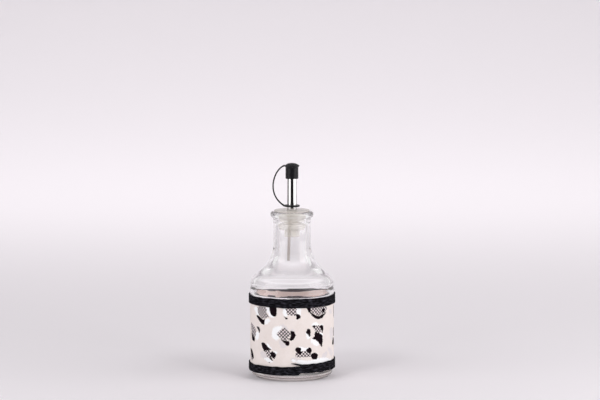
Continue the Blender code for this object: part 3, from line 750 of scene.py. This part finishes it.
class CRUET_OT_printed_sleeve(Operator):
    """Bend the printed cloth round the bottle, with its butt seam at the back"""
    bl_idname = "cruet.printed_sleeve"
    bl_label = "Printed sleeve"
    seam_width = 0.2 * MM
    edge_rise = 2.4 * MM
    edge_band = 6 * MM
    edge_wave_pitch = 3.5 * MM
    peak_slope_deg = 4

    def execute(self, context):
        settings = context.scene.cruet.sleeve
        low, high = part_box("printed_sleeve")
        outer = CLOTH_RADIUS
        seam_angle = self.seam_width / outer
        turns = math.tau - seam_angle
        shape = bmesh.new()
        ends = [shape.verts.new((outer, 0, height)) for height in (low.z, high.z)]
        edge = shape.edges.new(ends)
        bmesh.ops.subdivide_edges(shape, edges=[edge], cuts=int((high.z - low.z) / settings.cell))
        bmesh.ops.rotate(shape, verts=shape.verts,
                         matrix=Matrix.Rotation(math.pi / 2 + seam_angle / 2, 3, "Z"))
        bmesh.ops.spin(shape, geom=shape.verts[:] + shape.edges[:], cent=(0, 0, 0),
                       axis=(0, 0, 1), angle=turns, steps=int(turns * outer / settings.cell))
        bmesh.ops.recalc_face_normals(shape, faces=shape.faces)
        if shape.faces[:][0].normal.dot(shape.faces[:][0].calc_center_median().xy.to_3d()) < 0:
            bmesh.ops.reverse_faces(shape, faces=shape.faces)
        bmesh.ops.solidify(shape, geom=shape.faces[:], thickness=settings.thickness)
        self.trim_top_edge(shape, high.z)
        mesh = as_mesh("sleeve_cloth", shape)
        self.lay_print(mesh, outer)
        sleeve = dress("sleeve_cloth", mesh, "bottle", "printed_cloth", "printed_sleeve")
        return {"FINISHED"}

    def trim_top_edge(self, shape, top):
        """Raise the top edge up to the bead in the places where it was cut higher."""
        start = top - self.edge_band
        for vert in shape.verts:
            if vert.co.z < start:
                continue
            turned = math.degrees(math.atan2(vert.co.x, vert.co.y))
            inside = max(min(turned - low, high - turned) for low, high in TOP_EDGE_PEAKS_DEG)
            peak = min(max(inside / self.peak_slope_deg + 0.5, 0), 1)
            waver = noise.noise(vert.co / self.edge_wave_pitch)
            rise = self.edge_rise * (peak * (0.75 + 0.5 * waver) + (1 - peak) * 0.1 * waver)
            vert.co.z += rise * (vert.co.z - start) / (top - start)

    def lay_print(self, mesh, outer):
        """Give the cloth its flat places, its distances to the patches and its inner face."""
        places = np.empty(len(mesh.vertices) * 3)
        mesh.vertices.foreach_get("co", places)
        x, y, z = places.reshape(-1, 3).T
        across = np.arctan2(x, -y) * outer
        kinds = {"black": all_round(BLACK_PATCHES), "net": all_round(NET_PATCHES),
                 "white": all_round(WHITE_PATCHES), "lilac": all_round(LILAC_PATCHES),
                 "stain": STAIN_PATCHES}
        layers = {name: patch_distance(across / MM, z / MM, kinds[name]) for name in kinds}
        layers["inner_face"] = np.hypot(x, y) < outer - 0.2 * MM
        for name, values in layers.items():
            layer = mesh.attributes.new(name, "FLOAT", "POINT")
            layer.data.foreach_set("value", values.astype(np.float32))
        loops = np.empty(len(mesh.loops), dtype=np.int32)
        mesh.loops.foreach_get("vertex_index", loops)
        flat = mesh.uv_layers.new(name="cloth")
        flat.uv.foreach_set("vector", np.stack((across[loops], z[loops]), 1).ravel())


# The twine trims


def round_wall(angle, away, up):
    """Points at angles round the bottle, at distances from its axis and at heights."""
    return np.stack((away * np.cos(angle), away * np.sin(angle), up), 1)


def winding(start_deg, hand, first_height, pitch, tilts_mm, lay):
    """The angles and heights of one winding, which climbs clockwise where its hand is -1."""
    turns = 5
    steps_in_a_lay = 6
    share = np.linspace(0, 1, int(turns * math.tau * TWINE_RADIUS / (lay / steps_in_a_lay)))
    angle = math.radians(start_deg) + hand * share * turns * math.tau
    tilt = tilts_mm[0] + (tilts_mm[1] - tilts_mm[0]) * share
    height = first_height + pitch * turns * share + tilt * MM * np.cos(angle)
    waves_in_a_radian, wave_height = 8.0, 0.4 * MM
    wander = [noise.noise(Vector((a * waves_in_a_radian, first_height / MM, 0.5))) for a in angle]
    return angle, height + np.array(wander) * wave_height


def plies(angle, height, pitch, settings):
    """The routes of the three plies that twist round a middle line, and of the cores behind."""
    run = np.concatenate(([0], np.cumsum(np.abs(np.diff(angle)) * TWINE_RADIUS)))
    core = round_wall(angle, TWINE_RADIUS - settings.core_depth, height)
    between_rows = run < run[-1] - math.tau * TWINE_RADIUS
    filler = core[between_rows] + (0, 0, pitch / 2)
    core_share = settings.core_radius / settings.ply_radius
    routes = [(line[::2], core_share) for line in (core, filler)]
    end_length, end_share = 1.2 * MM, 0.35
    for ply in range(3):
        twist = run / settings.lay * math.tau + ply * math.tau / 3
        away = TWINE_RADIUS + settings.press * np.cos(twist)
        up = height + settings.reach * np.sin(twist)
        taper = np.clip(np.minimum(run, run[-1] - run) / end_length, end_share, 1)
        routes.append((round_wall(angle, away, up), taper))
    return routes


def loose_fibres(angle, height, settings, seed):
    """Short thin fibres that stand off the twine."""
    random = np.random.default_rng(seed)
    routes = []
    for index in random.integers(0, len(angle), settings.fuzz_count):
        length_now = settings.fuzz_length * random.uniform(0.3, 1)
        lean = random.uniform(-1, 1) * length_now / TWINE_RADIUS
        rise = random.uniform(-0.8, 0.8) * length_now
        stand = 0.4 * MM + length_now * random.uniform(0.05, 0.3)
        steps = np.linspace(0, 1, 4)
        away = TWINE_RADIUS + 0.3 * MM + stand * np.sin(steps * 1.8) * 0.6
        up = height[index] + rise * steps ** 1.5 + random.uniform(-0.4, 0.4) * MM
        routes.append((round_wall(angle[index] + lean * steps, away, up), 0.11 - 0.07 * steps))
    return routes


def frayed_end(angle, height, seed):
    """The cut end of the twine, lifted off the row below and untwisted into a point."""
    random = np.random.default_rng(seed)
    strands, lift = 30, 1.9 * MM
    root = 2.5 * MM
    routes = []
    for _ in range(strands):
        spread = random.uniform(-1, 1)
        reach = random.uniform(6.0, 9.5) * MM
        steps = np.linspace(0, 1, 8)
        around = angle + (root - reach * steps) / TWINE_RADIUS
        up = height + 0.7 * MM * spread * (1 - 0.8 * steps) + lift * steps ** 0.9
        away = TWINE_RADIUS + (0.25 + 0.35 * np.sin(steps * 2.4) + 0.1 * spread) * MM
        routes.append((round_wall(around, away, up), 0.75 - 0.5 * steps))
    return routes


class CRUET_OT_twine_trims(Operator):
    """Wind twisted black twine round both edges of the sleeve"""
    bl_idname = "cruet.twine_trims"
    bl_label = "Twine trims"

    def execute(self, context):
        settings = context.scene.cruet.twine
        # Piece, node, start in degrees, hand, height, pitch and tilts in mm, seed, frayed or not
        plans = (("upper_trim", "upper_twine", 97.5, 1, 63.45, 1.6, (-0.4, 0.0), 11, False),
                 ("lower_trim", "lower_twine", -80.0, -1, 6.9, 1.5, (0.4, 1.2), 12, True))
        for name, node, start, hand, low, pitch, tilts, seed, frayed in plans:
            line = winding(start, hand, low * MM, pitch * MM, tilts, settings.lay)
            routes = plies(*line, pitch * MM, settings)
            routes += loose_fibres(*line, settings, seed)
            if frayed:
                routes += frayed_end(line[0][-1], line[1][-1], seed)
            mesh = tube_mesh(name, routes, settings.ply_radius, 1)
            dress(name, mesh, "bottle", "black_twine", node)
        return {"FINISHED"}


# The pouring stopper


def bored(name, shape, holes):
    """A mesh of a shape with round holes cut through it, each (radius, place matrix, depth)."""
    piece = add_piece(name, as_mesh(name, shape), finish("milky_plastic"))
    tools = []
    for number, (radius, place, depth) in enumerate(holes):
        tool = bmesh.new()
        bmesh.ops.create_cone(tool, cap_ends=True, segments=40, radius1=radius, radius2=radius,
                              depth=depth)
        bmesh.ops.transform(tool, verts=tool.verts, matrix=place)
        tools.append(add_piece(f"hole_{number}", as_mesh(f"hole_{number}", tool),
                               finish("milky_plastic")))
        cut = piece.modifiers.new(tools[-1].name, "BOOLEAN")
        cut.operation, cut.solver, cut.object = "DIFFERENCE", "EXACT", tools[-1]
    mesh = evaluated_mesh(piece)
    for old in tools + [piece]:
        bpy.data.objects.remove(old)
    mesh.name = name
    mesh.shade_smooth()
    mesh.set_sharp_from_angle(angle=SHARP_ANGLE)
    return mesh


class CRUET_OT_pouring_stopper(Operator):
    """Mould the milky plug and set the steel spout and the thin air tube in it"""
    bl_idname = "cruet.pouring_stopper"
    bl_label = "Pouring stopper"

    def execute(self, context):
        settings = context.scene.cruet.stopper
        corners = [(0, 124.7, 0), (3.9, 124.7, 0.2), (3.9, 134.7, 0), (4.55, 134.7, 0),
                   (4.55, 142.5, 0.25), (15.0, 142.5, 0.5), (15.0, 141.5, 0.3),
                   (9.8, 141.5, 0.2), (9.8, 140.5, 0.3), (11.7, 140.5, 0.5), (11.7, 136.5, 2.0),
                   (10.3, 132.7, 0.4), (6.5, 132.7, 0.4), (6.5, 130.9, 0.4), (11.7, 130.9, 0.5),
                   (11.7, 128.5, 1.1), (10.1, 126.0, 0.4), (6.5, 126.0, 0.4), (6.5, 119.8, 0.3),
                   (0, 119.8, 0)]
        lean = Matrix.Rotation(settings.tube_lean, 4, "Y")
        axis = Matrix.Translation((-2.2 * MM, 0, 124.7 * MM)) @ lean
        port = Matrix.Translation((1.7 * MM, 0, 121.7 * MM))
        down = Matrix.Translation((0, 0, -3 * MM))
        depth = 8 * MM
        mesh = bored("plug_moulding", turn(outline(corners), settings.segments),
                     ((1.5 * MM, axis @ down, depth), (2 * MM, port, depth)))
        dress("plug_moulding", mesh, "stopper", "milky_plastic", "stopper_plug")
        corners = [(4.0, 135.1, 0), (4.25, 135.0, 0.1), (3.95, 178.6, 0.2), (3.45, 178.6, 0.2),
                   (3.75, 135.0, 0.1), (4.0, 135.1, 0)]
        dress_turned("spout_tube", corners, settings.segments, "stopper", "polished_steel",
                     "pour_spout")
        corners = [(1.0, -26.4, 0), (1.2, -26.4, 0.1), (1.2, 40.4, 0.1), (0.8, 40.4, 0.1),
                   (0.8, -26.4, 0.1), (1.0, -26.4, 0)]
        dress_turned("breather_tube", corners, 32, "stopper", "drawn_steel", "air_tube", axis)
        return {"FINISHED"}


# The cap, its strap and its ring


class CRUET_OT_dust_cap(Operator):
    """Mould the soft cap, the ring on the spout and the strap that joins them"""
    bl_idname = "cruet.dust_cap"
    bl_label = "Dust cap"

    def execute(self, context):
        settings = context.scene.cruet.cap
        corners = [(0, 178.9, 0), (4.31, 178.9, 0.2), (4.31, 169.1, 0.25), (5.45, 169.1, 0.4),
                   (5.45, 178.9, 0.6), (6.3, 179.7, 0.3), (6.3, 180.45, 0.3), (5.75, 180.5, 0.1)]
        corners += curved((5.75, 180.5), (4.6, 181.8), (2.4, 182.4), (0, 182.4), 14)
        dress_turned("cap_moulding", corners, settings.segments, "cap", "black_rubber",
                     "dust_cap")
        corners = [(4.55, 145.9, 0), (4.55, 145.15, 0.2), (6.6, 145.15, 0.45), (6.6, 146.65, 0.45),
                   (4.55, 146.65, 0.2), (4.55, 145.9, 0)]
        dress_turned("ring_moulding", corners, settings.segments, "tether", "black_rubber",
                     "tether_ring")
        self.make_strap(settings)
        return {"FINISHED"}

    def make_strap(self, settings):
        """The bowed strap, a little thicker where it grows out of the cap and the ring."""
        knots = [Vector((x * MM, 0, z * MM))
                 for x, z in ((-6.1, 180.15), (-14.0, 178.7), (-23.6, 156.5), (-6.3, 145.8))]
        points = np.array(interpolate_bezier(*knots, 72))
        run = np.linspace(0, 1, len(points))
        root_growth, root_fall = 0.35, 22
        shares = 1 + root_growth * (np.exp(-run * root_fall) + np.exp(-(1 - run) * root_fall))
        mesh = tube_mesh("strap_moulding", [(points, shares)], settings.strap_thickness / 2, 3)
        mesh.transform(Matrix.Diagonal((1, settings.strap_width_share, 1, 1)))
        strap = add_piece("strap_moulding", mesh, finish("black_rubber"))
        # It bends between two bodies, so it rides on neither of them
        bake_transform(strap)
        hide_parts("tether_strap")


# The stage


class CRUET_OT_stage(Operator):
    """Lay the pale paper, hang the soft lamps and set the camera as in the photograph"""
    bl_idname = "cruet.stage"
    bl_label = "Stage"
    paper_half_width = 1.3

    def execute(self, context):
        settings = context.scene.cruet.stage
        self.lay_paper()
        # Each lamp's name, place, aim, sides, power and whether steel and glass reflect it
        lamps = (
            ("left_lamp", (-0.77, -0.44, 0.40), (0, 0, 0.40), (0.62, 0.78),
             settings.left_power, True),
            ("right_lamp", (0.83, -0.30, 0.40), (0, 0, 0.40), (0.78, 0.78),
             settings.right_power, True),
            ("wall_lamp", (0, 1.3, 1.5), (0, 1.3, 0), (3.0, 0.6), settings.wall_power, False),
            ("left_key", (-0.66, -0.98, 0.80), (0, 0, 0.05), (0.30, 0.30),
             settings.key_power, False),
            ("right_key", (0.78, -0.92, 0.80), (0, 0, 0.05), (0.30, 0.30),
             settings.key_power, False),
        )
        for plan in lamps:
            lamp = self.hang_lamp(*plan)
            if lamp.name == "wall_lamp":
                lamp.data.spread = math.radians(100)
        self.stand_flag("front_flag", (0.10, -1.2, 0.15), 0, (1.6, 0.8))
        self.stand_flag("left_flag", (-0.83, 0.18, 0.30), math.radians(-102), (0.70, 0.58))
        self.light_room(context.scene, settings)
        self.set_camera(context.scene, settings)
        context.scene.view_settings.view_transform = "Standard"
        light_paths = context.scene.cycles
        light_paths.max_bounces = light_paths.transmission_bounces = 32
        light_paths.glossy_bounces = 16
        return {"FINISHED"}

    def lay_paper(self):
        """One sheet of paper that is the floor and, bent up behind, the backdrop."""
        shape = bmesh.new()
        knots = [Vector(p) for p in ((0, 1.1, 0), (0, 2.1, 0), (0, 2.1, 0.2), (0, 2.1, 1.2))]
        line = [Vector((0, -0.6, 0))] + interpolate_bezier(*knots, 40) + [Vector((0, 2.1, 3.0))]
        verts = [shape.verts.new((-self.paper_half_width, point.y, point.z)) for point in line]
        edges = [shape.edges.new(pair) for pair in zip(verts, verts[1:])]
        swept = bmesh.ops.extrude_edge_only(shape, edges=edges)["geom"]
        moved = [item for item in swept if isinstance(item, bmesh.types.BMVert)]
        bmesh.ops.translate(shape, verts=moved, vec=(2 * self.paper_half_width, 0, 0))
        bmesh.ops.recalc_face_normals(shape, faces=shape.faces)
        paper = add_piece("studio_paper", as_mesh("studio_paper", shape), finish("studio_paper"))

    def hang_lamp(self, name, place, aim, sides, power, reflected):
        """A soft rectangular lamp, which neither the camera nor light through glass sees."""
        light = bpy.data.lights.new(name, "AREA")
        light.shape = "RECTANGLE"
        light.size, light.size_y = sides
        light.energy = power
        lamp = bpy.data.objects.new(name, light)
        bpy.context.scene.collection.objects.link(lamp)
        lamp.location = place
        lamp.rotation_euler = (Vector(aim) - lamp.location).to_track_quat("-Z", "Y").to_euler()
        lamp.visible_camera = lamp.visible_transmission = False
        lamp.visible_glossy = reflected
        return lamp

    def stand_flag(self, name, place, turned, sides):
        """A dark board that only reflections see, which draws the dark bands on polished steel."""
        shape = bmesh.new()
        bmesh.ops.create_grid(shape, x_segments=1, y_segments=1, size=0.5)
        bmesh.ops.scale(shape, verts=shape.verts, vec=(*sides, 1))
        stand = Matrix.Rotation(turned, 4, "Z") @ Matrix.Rotation(math.pi / 2, 4, "X")
        bmesh.ops.transform(shape, verts=shape.verts, matrix=Matrix.Translation(place) @ stand)
        flag = add_piece(name, as_mesh(name, shape), finish("black_board"))
        flag.visible_camera = flag.visible_diffuse = flag.visible_shadow = False
        flag.visible_transmission = False

    def light_room(self, scene, settings):
        """Even pale light from all round, which glass and steel see brighter than it lights."""
        world = bpy.data.worlds.new("studio_room")
        scene.world = world
        world.use_nodes = True
        nodes = Nodes(world.node_tree)
        lights = nodes.add("ShaderNodeLightPath").outputs["Is Diffuse Ray"]
        pale = world.node_tree.nodes["Background"].inputs
        nodes.feed(pale["Color"], linear(244, 243, 244))
        nodes.feed(pale["Strength"], nodes.math(
            "MULTIPLY_ADD", lights, settings.room_light - settings.room_seen, settings.room_seen))

    def set_camera(self, scene, settings):
        """A long lens that puts the bottle's foot at the photograph's place."""
        data = bpy.data.cameras.new("photo_camera")
        data.lens = settings.lens
        data.sensor_width = 36
        data.clip_end = 20
        camera = bpy.data.objects.new("photo_camera", data)
        scene.collection.objects.link(camera)
        wide, high = PHOTO_SIZE
        right = FOOT_PIXEL[0] - wide / 2
        down = FOOT_PIXEL[1] - high / 2
        metres_per_pixel = settings.camera_distance * data.sensor_width / (wide * settings.lens)
        pitch = settings.camera_pitch
        ahead = Vector((0, math.cos(pitch), -math.sin(pitch)))
        upwards = Vector((0, math.sin(pitch), math.cos(pitch)))
        camera.location = (-ahead * settings.camera_distance + upwards * down * metres_per_pixel
                           - Vector((1, 0, 0)) * right * metres_per_pixel)
        camera.rotation_euler = ahead.to_track_quat("-Z", "Y").to_euler()
        scene.camera = camera


class CRUET_PT_panel(Panel):
    """The steps of dressing the cruet, and the sizes and colours that they use"""
    bl_label = "Cruet"
    bl_idname = "CRUET_PT_panel"
    bl_space_type = "VIEW_3D"
    bl_region_type = "UI"
    bl_category = "Cruet"

    def draw(self, context):
        for operator, part in STEPS:
            box = self.layout.box()
            box.operator(operator.bl_idname)
            settings = getattr(context.scene.cruet, part)
            for name in type(settings).__annotations__:
                box.prop(settings, name)


STEPS = (
    (CRUET_OT_glass_bottle, "glass"),
    (CRUET_OT_printed_sleeve, "sleeve"),
    (CRUET_OT_twine_trims, "twine"),
    (CRUET_OT_pouring_stopper, "stopper"),
    (CRUET_OT_dust_cap, "cap"),
    (CRUET_OT_stage, "stage"),
)
CLASSES = (GlassSettings, SleeveSettings, TwineSettings, StopperSettings, CapSettings,
           StageSettings, CruetSettings, *(operator for operator, part in STEPS), CRUET_PT_panel)


def register():
    """Register every class, and hang the settings on the scene."""
    for item in CLASSES:
        bpy.utils.register_class(item)
    bpy.types.Scene.cruet = PointerProperty(type=CruetSettings)


def unregister():
    """Take the settings off the scene, and every class away."""
    del bpy.types.Scene.cruet
    for item in reversed(CLASSES):
        bpy.utils.unregister_class(item)


def main():
    """Make every piece in order."""
    register()
    for operator, part in STEPS:
        group, name = operator.bl_idname.split(".")
        getattr(getattr(bpy.ops, group), name)()


if __name__ == "__main__":
    main()
